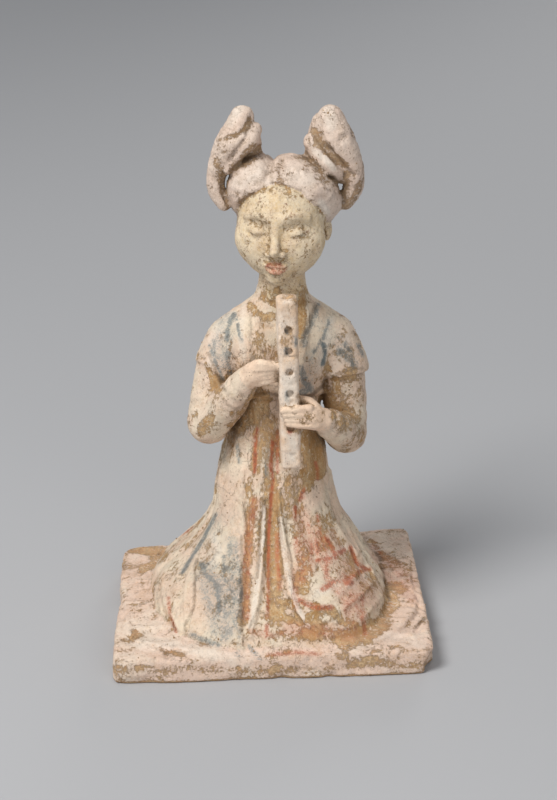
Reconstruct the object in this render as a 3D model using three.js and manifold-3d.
import * as THREE from 'three';
import { mergeVertices } from 'three/addons/utils/BufferGeometryUtils.js';
import Module from 'manifold-3d';

// A kneeling flute player of fired and painted clay, made in one piece with its slab.
// Millimetres, +Z up. The origin is the middle of the slab's underside and the figure faces -Y.

// Driving dimensions, in millimetres
const SLAB_WIDTH = 149.2;
const SLAB_DEPTH = 130.2;
const SLAB_THICKNESS = 12;
const SLAB_CORNER_RADIUS = 8;
const SLAB_ARRIS = 2.4;
const SLAB_WEAR = 1.1;
const HEM_THICKNESS = 2.4;
const FIGURE_HEIGHT = 231;
const FIGURE_CENTRE_X = 5;
const FIGURE_CENTRE_Y = 6;
const HAIR_THICKNESS = 3.4;
const FLUTE_LENGTH = 80;
const FLUTE_WIDTH = 9;
const FLUTE_EDGE_RADIUS = 2.2;
const FINGER_HOLE_DIAMETER = 3.2;
const FINGER_HOLE_DEPTH = 1.8;
const FINGER_HOLE_PITCH = 9.9;
const FIRST_HOLE_FROM_TOP = 14;

// The figure's pose, proportions and carving are in units of a 231st of its height,
// measured from where its axis meets the top of the slab.
const UNITS_HIGH = 231;
const unit = FIGURE_HEIGHT / UNITS_HIGH;

const wasm = await Module();
wasm.setup();

const radians = THREE.MathUtils.degToRad;
const degrees = THREE.MathUtils.radToDeg;

function place(x, y, z) {
  return new THREE.Vector3(
    FIGURE_CENTRE_X + x * unit,
    FIGURE_CENTRE_Y + y * unit,
    SLAB_THICKNESS + z * unit,
  );
}

// Closed skin over a stack of rings that all have the same number of points
function skinOver(rings) {
  const sides = rings[0].length;
  const middleOf = (ring) => ring.reduce((sum, point) => sum.add(point), new THREE.Vector3())
    .divideScalar(sides);
  const points = [...rings.flat(), middleOf(rings[0]), middleOf(rings.at(-1))];
  const lastRing = (rings.length - 1) * sides;
  const lowMiddle = rings.length * sides;
  const highMiddle = lowMiddle + 1;
  const faces = [];
  for (let side = 0; side < sides; side += 1) {
    const next = (side + 1) % sides;
    for (let low = 0; low < lastRing; low += sides) {
      const high = low + sides;
      faces.push(low + side, low + next, high + next, low + side, high + next, high + side);
    }
    faces.push(lowMiddle, next, side, highMiddle, lastRing + side, lastRing + next);
  }
  const geometry = new THREE.BufferGeometry().setFromPoints(points);
  geometry.setIndex(faces);
  return geometry;
}

function toSolid(geometry) {
  const bare = geometry.clone();
  bare.deleteAttribute('normal');
  bare.deleteAttribute('uv');
  const merged = mergeVertices(bare, 1e-4);
  return new wasm.Manifold(new wasm.Mesh({
    numProp: 3,
    vertProperties: new Float32Array(merged.attributes.position.array),
    triVerts: new Uint32Array(merged.index.array),
  }));
}

function toGeometry(solid) {
  const mesh = solid.getMesh();
  const geometry = new THREE.BufferGeometry();
  geometry.setAttribute('position', new THREE.BufferAttribute(mesh.vertProperties, 3));
  geometry.setIndex(new THREE.BufferAttribute(mesh.triVerts, 1));
  geometry.computeVertexNormals();
  return geometry;
}

// Rolled clay along a path of [x, y, z, radius] stops, with rounded ends and raised bands
function roll(stops, { sides = 12, steps = 5, domeLifts = [40, 70], bands = [] } = {}) {
  const path = new THREE.CatmullRomCurve3(stops.map(([x, y, z]) => place(x, y, z)));
  const girth = new THREE.CatmullRomCurve3(stops.map((stop) => new THREE.Vector3(stop[3] * unit)));
  const front = new THREE.Vector3(0, -1, 0);
  const ringAt = (share, ahead, radius) => {
    const along = path.getTangent(share);
    const across = along.clone().cross(front).normalize();
    const up = along.clone().cross(across);
    const middle = path.getPoint(share).addScaledVector(along, ahead);
    return Array.from({ length: sides }, (_, side) => middle.clone()
      .addScaledVector(across, radius * Math.cos((side / sides) * Math.PI * 2))
      .addScaledVector(up, radius * Math.sin((side / sides) * Math.PI * 2)));
  };
  const domeAt = (share, way) => domeLifts.map((lift) => {
    const radius = girth.getPoint(share).x;
    return ringAt(share, way * radius * Math.sin(radians(lift)), radius * Math.cos(radians(lift)));
  });
  const marks = Array.from({ length: steps + 1 }, (_, step) => ({ share: step / steps, rise: 0 }))
    .filter(({ share }) => bands.every((band) => Math.abs(share - band.share) > band.half));
  for (const { share, half, rise } of bands) {
    marks.push(
      { share: share - half, rise: 0 },
      { share, rise: rise * unit },
      { share: share + half, rise: 0 },
    );
  }
  marks.sort((one, other) => one.share - other.share);
  const body = marks.map(({ share, rise }) => ringAt(share, 0, girth.getPoint(share).x + rise));
  return skinOver([...domeAt(0, -1).reverse(), ...body, ...domeAt(1, 1)]);
}

// A smooth curve through rows of [position, value, ...] at rising positions
function profileOf(rows) {
  const positions = rows.map((row) => row[0]);
  const values = rows.flatMap((row) => row.slice(1));
  const curve = new THREE.CubicInterpolant(positions, values, rows[0].length - 1);
  return (position) => [...curve.evaluate(
    THREE.MathUtils.clamp(position, positions[0], positions.at(-1)),
  )];
}

function hump(distance, spread) {
  return Math.exp(-((distance / spread) ** 2));
}

// Slab: corners as shares of the width and depth, with how worn each one is
const SLAB_CORNERS = [
  [-0.5, -0.48, 1],
  [0.459, -0.5, 1.5],
  [0.5, 0.5, 1],
  [-0.433, 0.418, 1],
];

function slabOutline(pointsPerCorner = 4, pointsPerSide = 6) {
  const corners = SLAB_CORNERS.map(([x, y]) => new THREE.Vector3(x * SLAB_WIDTH, y * SLAB_DEPTH, 0));
  const reaches = SLAB_CORNERS.map((corner) => SLAB_CORNER_RADIUS * corner[2]);
  const towards = (from, to, reach) => from.clone().addScaledVector(to.clone().sub(from).normalize(), reach);
  return corners.flatMap((corner, index) => {
    const before = corners.at(index - 1);
    const afterIndex = (index + 1) % corners.length;
    const start = towards(corner, before, reaches[index]);
    const end = towards(corner, corners[afterIndex], reaches[index]);
    const nextStart = towards(corners[afterIndex], corner, reaches[afterIndex]);
    const bend = new THREE.QuadraticBezierCurve3(start, corner, end).getPoints(pointsPerCorner);
    const side = new THREE.LineCurve3(end, nextStart).getPoints(pointsPerSide).slice(1, -1);
    return [...bend, ...side];
  });
}

function slab() {
  const outline = slabOutline();
  const wornIn = (index) => {
    const turn = (index / outline.length) * Math.PI * 2;
    return SLAB_WEAR * (0.5 + 0.24 * Math.sin(5 * turn + 0.6) + 0.26 * Math.sin(13 * turn + 2));
  };
  const ringAt = (height, inset, wear) => outline.map((point, index) => {
    const along = outline[(index + 1) % outline.length].clone().sub(outline.at(index - 1)).normalize();
    const inward = new THREE.Vector3(-along.y, along.x, 0);
    return point.clone().addScaledVector(inward, inset + wear * wornIn(index)).setZ(height);
  });
  const plate = skinOver([
    ringAt(0, 0.5 * SLAB_ARRIS, 1.2),
    ringAt(0.7 * SLAB_ARRIS, 0, 0.9),
    ringAt(SLAB_THICKNESS - SLAB_ARRIS, 0, 0.5),
    ringAt(SLAB_THICKNESS - 0.3 * SLAB_ARRIS, 0.3 * SLAB_ARRIS, 0.5),
    ringAt(SLAB_THICKNESS, SLAB_ARRIS, 0.5),
  ]);
  plate.computeBoundingBox();
  const size = plate.boundingBox.getSize(new THREE.Vector3());
  const middle = plate.boundingBox.getCenter(new THREE.Vector3());
  plate.translate(-middle.x, -middle.y, 0);
  return plate.scale(SLAB_WIDTH / size.x, SLAB_DEPTH / size.y, 1);
}

// Skirt cloth lying on the slab: outline as shares of the slab's half width and half depth
const SPREAD_OUTLINE = [
  [-0.91, -0.25], [-0.885, -0.57], [-0.77, -0.79], [-0.52, -0.9],
  [-0.25, -0.935], [0.1, -0.94], [0.34, -0.935], [0.62, -0.85],
  [0.87, -0.46], [0.91, 0.06], [0.925, 0.48], [0.7, 0.72],
  [0.05, 0.8], [-0.56, 0.64], [-0.79, 0.28], [-0.88, 0.06],
];
const SPREAD_MIDDLE = [0, 0.09];
const CREASE_RISE = 0.4;

function spreadCloth(points = 52) {
  const onSlab = ([x, y]) => new THREE.Vector3(x * SLAB_WIDTH / 2, y * SLAB_DEPTH / 2, 0);
  const edge = new THREE.CatmullRomCurve3(SPREAD_OUTLINE.map(onSlab), true);
  const outline = edge.getPoints(points).slice(0, -1);
  const middle = onSlab(SPREAD_MIDDLE);
  const creased = (point) => THREE.MathUtils.smoothstep(point.x / SLAB_WIDTH, 0.2, 0.4);
  const ringAt = (share, height, crease = 0) => outline.map((point, index) => {
    const swing = index % 2 ? crease : -crease;
    const thickness = height + swing * creased(point);
    return middle.clone().lerp(point, share).setZ(SLAB_THICKNESS + thickness * HEM_THICKNESS);
  });
  return skinOver([
    ringAt(1, -1),
    ringAt(1, 0.5),
    ringAt(0.985, 1, CREASE_RISE / 2),
    ringAt(0.85, 1.2, CREASE_RISE),
    ringAt(0.6, 1.5),
  ]);
}

// Robe: height, half width, middle, reach to the front, reach to the back, squareness
const ROBE_PROFILE = [
  [-6, 54.6, -4.6, 67, 46, 2.4],
  [0, 54.2, -4.6, 66, 45, 2.4],
  [6, 52.5, -4.6, 62, 44, 2.35],
  [12, 48.6, -4.4, 57, 42, 2.3],
  [20, 41, -3, 48, 39, 2.25],
  [28, 34.4, -1.4, 40, 36, 2.2],
  [40, 28.6, -0.9, 31, 31.5, 2.1],
  [55, 25.5, -1.5, 25.5, 27.5, 2.1],
  [73, 22.5, -1, 22, 24, 2.1],
  [92, 19.8, -0.3, 19.5, 21, 2.1],
  [108, 23.5, 0.4, 19.5, 20, 2.2],
  [118, 27.5, 1, 18.8, 19.2, 2.2],
  [125, 29.5, 1.4, 17.4, 18.2, 2.2],
  [130, 28, 1.6, 15.6, 17, 2.2],
  [134.5, 23.5, 1.8, 13.6, 15.4, 2.15],
  [138.5, 17.6, 1.9, 11.8, 13.6, 2.1],
  [142, 13.2, 2, 10.8, 12.8, 2],
  [147, 11, 2, 9.8, 11.4, 2],
  [152, 9.4, 2, 8.4, 9.6, 2],
];
const ROBE_SUNK = 3;
// Knees, hip and the dip between the knees: angle, its spread, height, its spread, swell
const ROBE_SWELLS = [
  [-54, 20, 14, 15, 4.5],
  [-136, 20, 14, 15, 4.5],
  [-92, 14, 22, 16, -3],
  [5, 22, 26, 8, 2.4],
];
// Broad folds that run down the skirt: angle at rising heights, half width, rise
const ROBE_FOLDS = [
  { path: [[14, -93], [30, -95], [46, -96], [66, -94], [84, -92]], half: 3, rise: -1.1 },
  { path: [[12, -64], [28, -68], [44, -70], [62, -70], [84, -66]], half: 3, rise: -0.9 },
  { path: [[18, -30], [32, -38], [48, -44], [66, -46]], half: 3.6, rise: 1.1 },
  { path: [[12, -4], [26, -10], [40, -16], [56, -20]], half: 3.8, rise: 1.2 },
  { path: [[8, 26], [24, 18], [40, 12], [58, 10]], half: 4.4, rise: 1.2 },
  { path: [[6, 62], [24, 58], [44, 56], [66, 56]], half: 5, rise: 1 },
  { path: [[4, 104], [24, 102], [44, 100], [66, 98]], half: 5, rise: 1 },
  { path: [[6, 148], [24, 150], [44, 148], [62, 146]], half: 4.4, rise: 1.1 },
  { path: [[10, -172], [26, -168], [42, -160], [60, -154]], half: 3.8, rise: 1 },
];
const FOLD_FADE = 5;
// Narrow raised lines that run up the robe: angle at rising heights, then where they stand out.
// They are the robe's edge with its lapel, the left ribbon, and the right ribbon with its lapel.
const ROBE_LINES = [
  {
    path: [[-6, -103.5], [17, -108.3], [34, -117.4], [52, -126.3], [80, -130], [103, -129],
      [117, -133], [128, -141], [138, -150], [152, -156]],
    crests: [{ low: -6, high: 58, rise: 1 }, { low: 103, high: 140, rise: 0.9 }],
  },
  {
    path: [[-6, -98.5], [7, -101], [20, -101.3], [33, -104.6], [42, -105], [56, -104.6],
      [90, -104], [152, -110]],
    crests: [{ low: 7, high: 58, rise: 1.2 }],
  },
  {
    path: [[-6, -70], [7.5, -75.7], [12.4, -80.2], [18, -84], [31, -85.8], [46.5, -90], [60, -88],
      [85, -72], [103, -67], [112, -66], [122, -62], [132, -52], [139, -38], [152, -34]],
    crests: [{ low: 6, high: 58, rise: 1.2 }, { low: 101, high: 140, rise: 0.9 }],
  },
];
const LINE_HALF_WIDTH = 1.5;
const COLUMNS_AFTER_LINE = [2, 4, 28];
// The band round the top of the skirt, under the arms
const SKIRT_BAND = { height: 102, half: 1.5, rise: 0.9 };

const robeProfile = profileOf(ROBE_PROFILE);
const robeFolds = ROBE_FOLDS.map((fold) => ({ ...fold, angleAt: profileOf(fold.path) }));
const robeLines = ROBE_LINES.map((line) => ({ ...line, angleAt: profileOf(line.path) }));

function turnBetween(angle, other) {
  return THREE.MathUtils.euclideanModulo(angle - other + 180, 360) - 180;
}

function robeRadius(angle, height) {
  const [side, , front, back, squareness] = robeProfile(height);
  const ahead = Math.sin(radians(angle));
  const across = Math.abs(Math.cos(radians(angle)) / side);
  const deep = Math.abs(ahead / (ahead < 0 ? front : back));
  let radius = (across ** squareness + deep ** squareness) ** (-1 / squareness);
  for (const [middle, spread, level, rise, swell] of ROBE_SWELLS) {
    radius += swell * hump(turnBetween(angle, middle), spread) * hump(height - level, rise);
  }
  const smooth = radius;
  for (const { path, half, rise, angleAt } of robeFolds) {
    const aside = radians(turnBetween(angle, angleAt(height)[0])) * smooth;
    const beyond = Math.max(path[0][0] - height, height - path.at(-1)[0], 0);
    radius += rise * hump(aside, half) * hump(beyond, FOLD_FADE);
  }
  return radius;
}

function robePoint(angle, height, lift = 0) {
  const radius = robeRadius(angle, height) + lift;
  const middle = robeProfile(height)[1];
  return place(
    middle + radius * Math.cos(radians(angle)),
    radius * Math.sin(radians(angle)),
    height,
  );
}

function crestRise(line, height) {
  const rises = line.crests.map(({ low, high, rise }) => {
    const beyond = Math.max(low - height, height - high, 0);
    return rise * hump(beyond, FOLD_FADE / 2);
  });
  return Math.max(...rises);
}

// One ring of the robe: foot, crest and foot of each line, and even columns between the lines
function robeRing(height, lift) {
  const feet = robeLines.map(({ angleAt }) => {
    const crest = angleAt(height)[0];
    const half = degrees(LINE_HALF_WIDTH / robeRadius(crest, height));
    return { crest, left: crest - half, right: crest + half };
  });
  return robeLines.flatMap((line, index) => {
    const { crest, left, right } = feet[index];
    const next = feet[(index + 1) % feet.length];
    const nextLeft = index + 1 < feet.length ? next.left : next.left + 360;
    const columns = COLUMNS_AFTER_LINE[index];
    const crowding = columns > 10 ? 0.07 : 0;
    const columnPoints = Array.from({ length: columns }, (_, column) => {
      const even = (column + 1) / (columns + 1);
      const share = even - crowding * Math.sin(even * Math.PI * 2);
      return robePoint(right + (nextLeft - right) * share, height, lift);
    });
    return [
      robePoint(left, height, lift),
      robePoint(crest, height, lift + crestRise(line, height)),
      robePoint(right, height, lift),
      ...columnPoints,
    ];
  });
}

function robe(widestStep = 12) {
  const heights = [];
  for (let row = 0; row < ROBE_PROFILE.length - 1; row += 1) {
    const low = Math.max(ROBE_PROFILE[row][0], -ROBE_SUNK);
    const high = ROBE_PROFILE[row + 1][0];
    const steps = Math.ceil((high - low) / widestStep);
    for (let step = 0; step < steps; step += 1) heights.push(low + (high - low) * (step / steps));
  }
  const { height: band, half, rise } = SKIRT_BAND;
  const rings = heights
    .filter((height) => Math.abs(height - band) > 2 * half)
    .map((height) => ({ height, lift: 0 }));
  rings.push(
    { height: band - half, lift: 0 },
    { height: band, lift: rise },
    { height: band + half, lift: 0 },
  );
  rings.sort((one, other) => one.height - other.height);
  return skinOver(rings.map(({ height, lift }) => robeRing(height, lift)));
}

// Raised wrinkles laid over the knees: [angle, height] stops
const KNEE_WRINKLES = [
  [[-158, 26], [-144, 22.5], [-133, 17], [-128.5, 10], [-127.8, 3.5]],
  [[-164, 11.5], [-150, 9.3], [-138.4, 7.5], [-130, 2.6]],
  [[-76, 13.3], [-65.8, 16.5], [-50.9, 19.5]],
  [[-71, 9.4], [-60, 12.4], [-44, 14.3]],
];
const WRINKLE_RADIUS = 1.5;
const WRINKLE_RISE = 0.85;

function kneeWrinkle(stops) {
  const route = new THREE.CatmullRomCurve3(stops.map(([angle, height]) => (
    new THREE.Vector3(angle, height, 0)
  )));
  const path = route.getPoints(2 * stops.length).map(({ x, y }, index, all) => {
    const end = index === 0 || index === all.length - 1;
    return robePoint(x, y, end ? -WRINKLE_RADIUS : WRINKLE_RISE - WRINKLE_RADIUS);
  });
  const backToUnits = ({ x, y, z }) => [
    (x - FIGURE_CENTRE_X) / unit,
    (y - FIGURE_CENTRE_Y) / unit,
    (z - SLAB_THICKNESS) / unit,
    WRINKLE_RADIUS,
  ];
  return roll(path.map(backToUnits), { sides: 5, steps: 2 * stops.length, domeLifts: [] });
}

// Arms: each is an upper arm and a forearm, with raised bands at the sleeve's hem and the cuffs
const RIGHT_ELBOW = [-31.3, -7.5, 86.6, 9.7];
const LEFT_ELBOW = [31, -7.5, 78.4, 9.5];
const RIGHT_WRIST = [-15.8, -27, 114.5, 5.2];
const LEFT_WRIST = [17.5, -30.5, 94.6, 5.2];
const ARMS = [
  {
    stops: [[-21.5, -1, 119.5, 11.2], [-25.6, -2.4, 111.5, 10.6], [-29, -4.6, 100, 9.8], RIGHT_ELBOW],
    bands: [],
  },
  {
    stops: [RIGHT_ELBOW, [-23.5, -17.5, 99.5, 7.8], RIGHT_WRIST],
    bands: [{ share: 0.52, half: 0.07, rise: 0.9 }, { share: 0.8, half: 0.07, rise: 0.8 }],
  },
  {
    stops: [[24.4, -1, 119, 11.6], [28, -2.6, 109.5, 10.6], [29.8, -4.6, 96, 9.6], LEFT_ELBOW],
    bands: [{ share: 0.3, half: 0.06, rise: 1.1 }],
  },
  {
    stops: [LEFT_ELBOW, [26, -19.5, 85.4, 7.4], LEFT_WRIST],
    bands: [{ share: 0.56, half: 0.07, rise: 0.8 }, { share: 0.82, half: 0.07, rise: 0.8 }],
  },
];

// Flute: a rounded bar held upright in front of the chest, below the chin
const FLUTE_TOP = [0.8, -33, 153.8];
const FLUTE_LEAN = [0.0286, 0.025, -1];
const HOLES_IN_ROW = 4;
const LOWEST_HOLE_PITCHES = 4.7;

const fluteTop = place(...FLUTE_TOP);
const fluteAlong = new THREE.Vector3(...FLUTE_LEAN).normalize();
const fluteHalf = FLUTE_WIDTH / 2 / unit;

function intoFlute(geometry) {
  const front = new THREE.Vector3(0, -1, 0).projectOnPlane(fluteAlong).normalize();
  const side = front.clone().cross(fluteAlong);
  geometry.applyMatrix4(new THREE.Matrix4().makeBasis(side, front, fluteAlong));
  return geometry.translate(fluteTop.x, fluteTop.y, fluteTop.z);
}

function fluteBar() {
  const straight = FLUTE_WIDTH / 2 - FLUTE_EDGE_RADIUS;
  const section = new THREE.Shape();
  for (const [x, y, start] of [[1, -1, -90], [1, 1, 0], [-1, 1, 90], [-1, -1, 180]]) {
    section.absarc(x * straight, y * straight, FLUTE_EDGE_RADIUS, radians(start), radians(start + 90));
  }
  return intoFlute(new THREE.ExtrudeGeometry(section, {
    depth: FLUTE_LENGTH,
    curveSegments: 3,
    bevelEnabled: false,
  }));
}

function fingerHole(fromTop) {
  const radius = FINGER_HOLE_DIAMETER / 2;
  const bore = new THREE.CylinderGeometry(radius, radius, FINGER_HOLE_DEPTH * 2, 8);
  return intoFlute(bore.translate(0, FLUTE_WIDTH / 2, fromTop));
}

function flute() {
  const pitches = [...Array(HOLES_IN_ROW).keys(), LOWEST_HOLE_PITCHES];
  return pitches
    .map((pitch) => toSolid(fingerHole(FIRST_HOLE_FROM_TOP + pitch * FINGER_HOLE_PITCH)))
    .reduce((bar, bore) => bar.subtract(bore), toSolid(fluteBar()));
}

function fluteAxisAt(height) {
  const down = (FLUTE_TOP[2] - height) / -FLUTE_LEAN[2];
  return [FLUTE_TOP[0] + FLUTE_LEAN[0] * down, FLUTE_TOP[1] + FLUTE_LEAN[1] * down];
}

// Hands: palms and fingers reach the flute's faces, whatever its width
const FINGERS = 4;
const FINGER_SHAPE = { sides: 6, steps: 3, domeLifts: [50] };
const PALM_SHAPE = { sides: 8, steps: 2, domeLifts: [45] };

function between(start, end, share) {
  return start.map((value, index) => value + (end[index] - value) * share);
}

// Four fingers side by side, from the first to the last knuckle and fingertip
function fingers(knuckles, tips, raise, bendShare) {
  return Array.from({ length: FINGERS }, (_, finger) => {
    const share = finger / (FINGERS - 1);
    const knuckle = between(...knuckles, share);
    const tip = between(...tips, share);
    const bend = between(knuckle, tip, bendShare);
    return roll([
      [...knuckle, 2],
      [bend[0], bend[1] - raise, bend[2] + raise / 2, 1.85],
      [...tip, 1.5],
    ], FINGER_SHAPE);
  });
}

function rightHand() {
  const [axisX, axisY] = fluteAxisAt(119);
  const sideFace = axisX - fluteHalf;
  return [
    roll([RIGHT_WRIST, [-13.2, -30.4, 118, 4.7]], PALM_SHAPE),
    roll([
      [-15.6, -31, 120.6, 2.2],
      [-10.8, -34, 123.6, 2.1],
      [sideFace - 1, axisY - 1.4, 122.4, 1.7],
    ], FINGER_SHAPE),
    ...fingers(
      [[-14, -33, 121], [-11.2, -31.6, 114.2]],
      [[sideFace - 0.7, axisY - 0.8, 121.2], [sideFace - 0.7, axisY + 1.2, 115.4]],
      1.2,
      0.5,
    ),
  ];
}

function leftHand() {
  const [axisX, axisY] = fluteAxisAt(99);
  const frontFace = axisY - fluteHalf;
  const sideFace = axisX + fluteHalf;
  return [
    roll([LEFT_WRIST, [sideFace + 5, frontFace + 2.6, 98.4, 5]], PALM_SHAPE),
    roll([
      [sideFace + 7, frontFace + 4.6, 101, 2.4],
      [sideFace + 3.6, frontFace + 5, 104, 2.2],
      [sideFace + 0.3, frontFace + 5.4, 105, 1.9],
    ], FINGER_SHAPE),
    ...fingers(
      [[sideFace + 3.6, frontFace - 0.3, 103], [sideFace + 6.4, frontFace + 0.1, 94.6]],
      [[axisX - 3.4, frontFace - 0.7, 102.6], [axisX - 1, frontFace - 0.7, 96]],
      0.6,
      0.45,
    ),
  ];
}

// Head: overlapping egg shapes blended outwards from its middle, turned a little to its right
const HEAD_MIDDLE = [1.8, -7, 181.6];
const HEAD_TURN = -15;
const HEAD_EGGS = [
  { middle: [0, 1.5, 4], reach: [20, 21.5, 18.5] },
  { middle: [0, -5.5, -9.5], reach: [17.4, 14.5, 17] },
  { middle: [8.6, -8.6, -7], reach: [11, 9.6, 11] },
  { middle: [-8.6, -8.6, -7], reach: [11, 9.6, 11] },
];
const HEAD_BLEND = 1.6;
const HEAD_TOP_LIFT = 60;
// Face relief by the usual thirds: across, up, their spreads, rise
const FACE_RELIEF = [
  [0, -3, 2.1, 6, 2.3],
  [0, -10.2, 2.7, 2.8, 3],
  [2.9, -11, 1.7, 1.5, 1.1],
  [-2.9, -11, 1.7, 1.5, 1.1],
  [8, 4, 5, 2.2, 0.6],
  [-8, 4, 5, 2.2, 0.6],
  [8.2, -1, 4.8, 3.4, -1.3],
  [-8.2, -1, 4.8, 3.4, -1.3],
  [8.2, -1.3, 3.3, 1.7, 1.3],
  [-8.2, -1.3, 3.3, 1.7, 1.3],
  [0, -15.9, 3.4, 1.1, 1.2],
  [0, -18.9, 2.9, 1.2, 1.3],
  [0, -17.4, 3.9, 0.6, -0.9],
  [0, -23.2, 4.2, 2.8, 1],
];
// Hair: height of its rim above the head's middle at each turn from the front
const HAIRLINE = [[0, 21], [28, 17.5], [52, 12], [72, 4], [100, -4], [140, -9], [180, -12]];
const RIM_THINNING = 0.6;
const PARTING_DEPTH = 1.5;
const PARTING_HALF_WIDTH = 2.2;
const LOBE_SWELL = 2.2;
const hair = HAIR_THICKNESS / unit;
const hairlineAt = profileOf(HAIRLINE);

function directionAt(turn, lift) {
  return new THREE.Vector3(
    Math.sin(radians(turn)) * Math.cos(radians(lift)),
    -Math.cos(radians(turn)) * Math.cos(radians(lift)),
    Math.sin(radians(lift)),
  );
}

// How far a ray from the head's middle runs before it leaves an egg
function exitFrom({ middle, reach }, direction) {
  const scale = new THREE.Vector3(...reach);
  const ray = direction.clone().divide(scale);
  const origin = new THREE.Vector3(...middle).negate().divide(scale);
  const across = ray.dot(origin);
  const inside = across ** 2 - ray.lengthSq() * (origin.lengthSq() - 1);
  return inside < 0 ? 0 : (-across + Math.sqrt(inside)) / ray.lengthSq();
}

function headRadius(direction) {
  const total = HEAD_EGGS.reduce((sum, egg) => sum + Math.exp(exitFrom(egg, direction) / HEAD_BLEND), 0);
  return HEAD_BLEND * Math.log(total);
}

function faceRadius(direction) {
  const base = headRadius(direction);
  const forward = THREE.MathUtils.smoothstep(-direction.y, 0.15, 0.5);
  return FACE_RELIEF.reduce((radius, [across, up, wide, tall, rise]) => (
    radius + forward * rise * hump(direction.x * base - across, wide) * hump(direction.z * base - up, tall)
  ), base);
}

function hairRadius(direction) {
  const base = headRadius(direction);
  const lobes = LOBE_SWELL * Math.abs(direction.x) ** 0.5;
  return base + hair + lobes - PARTING_DEPTH * hump(direction.x * base, PARTING_HALF_WIDTH);
}

function onHead(direction, radius) {
  const spot = direction.clone().multiplyScalar(radius);
  spot.applyAxisAngle(new THREE.Vector3(0, 0, 1), radians(HEAD_TURN));
  return place(HEAD_MIDDLE[0] + spot.x, HEAD_MIDDLE[1] + spot.y, HEAD_MIDDLE[2] + spot.z);
}

function head(sides = 32, rows = 17) {
  const lowest = -84;
  return skinOver(Array.from({ length: rows }, (_, row) => {
    const lift = lowest + (HEAD_TOP_LIFT - lowest) * (row / (rows - 1));
    return Array.from({ length: sides }, (unused, side) => {
      const turn = (side / sides) * 360 - 180;
      const direction = directionAt(turn - 30 * Math.sin(radians(turn)), lift);
      return onHead(direction, faceRadius(direction));
    });
  }));
}

// A thick cap whose rim follows the hairline and turns in under it
function hairCap(sides = 30, rows = 7) {
  const ringAt = (share, drop, inset) => Array.from({ length: sides }, (_, side) => {
    const turn = (side / sides) * 360 - 180;
    const rimHeight = hairlineAt(Math.abs(turn))[0];
    const rimLift = degrees(Math.atan2(rimHeight, headRadius(directionAt(turn, 0))));
    const direction = directionAt(turn, rimLift + (90 - rimLift) * share - drop);
    return onHead(direction, hairRadius(direction) - inset);
  });
  const upwards = Array.from({ length: rows }, (_, row) => (
    ringAt((row + 0.15) / rows, 0, hair * RIM_THINNING * 0.35 ** row)
  ));
  return skinOver([ringAt(0, 1, 2 * hair), ringAt(0, 1, 0.9 * hair), ...upwards]);
}

// Hair loops: a tall leaf-shaped lobe with its tail, a front fold and a back lobe on each side
const HAIR_LOOPS = [
  [[-22.6, -3.5, 188, 3.8], [-24.8, -4, 195, 4.6], [-24, -4.6, 204, 6.2],
    [-19.8, -5, 215, 7.4], [-15.6, -3.4, 225.6, 5.4]],
  [[-20.6, -4.5, 199.6, 4.4], [-16.5, -6.6, 209.4, 5], [-13.4, -4.6, 217.6, 4.6]],
  [[-15.8, -1.5, 222.6, 5.6], [-12.8, 0.6, 215, 5.6], [-12, 2.5, 205.5, 6]],
  [[29.4, -3.5, 186.5, 3.8], [32.8, -4, 193.5, 4.6], [31.4, -4.6, 203.6, 5.6],
    [26.2, -5, 214.6, 7], [22.6, -3.4, 224.6, 5.6]],
  [[27, -5.5, 200, 3.2], [20.6, -7, 206.8, 4.5], [15.4, -5, 215.2, 4.3]],
  [[19.6, -1.5, 221.6, 5], [18.6, 0.6, 214.5, 5.4], [17.6, 2.5, 205.5, 5.8]],
];

function hairLoop(stops) {
  return roll(stops, { sides: 8, steps: 2 * stops.length - 4 });
}

function neck() {
  return roll([[2, -0.6, 141, 10.4], [2, -3, 166, 10.6]], { sides: 20, steps: 1, domeLifts: [30] });
}

const pieces = [
  slab(),
  spreadCloth(),
  robe(),
  ...KNEE_WRINKLES.map(kneeWrinkle),
  neck(),
  head(),
  hairCap(),
  ...HAIR_LOOPS.map(hairLoop),
  ...ARMS.map(({ stops, bands }) => roll(stops, { sides: 10, steps: 4, bands })),
  ...rightHand(),
  ...leftHand(),
];
const figure = pieces.map(toSolid).reduce((whole, piece) => whole.add(piece)).add(flute());

const clay = new THREE.MeshStandardMaterial({ color: 0xcdaf97, roughness: 0.93, metalness: 0 });
const attendant = new THREE.Mesh(toGeometry(figure), clay);
attendant.name = 'attendant_figure';

const group = new THREE.Group();
group.add(attendant);

export default group;
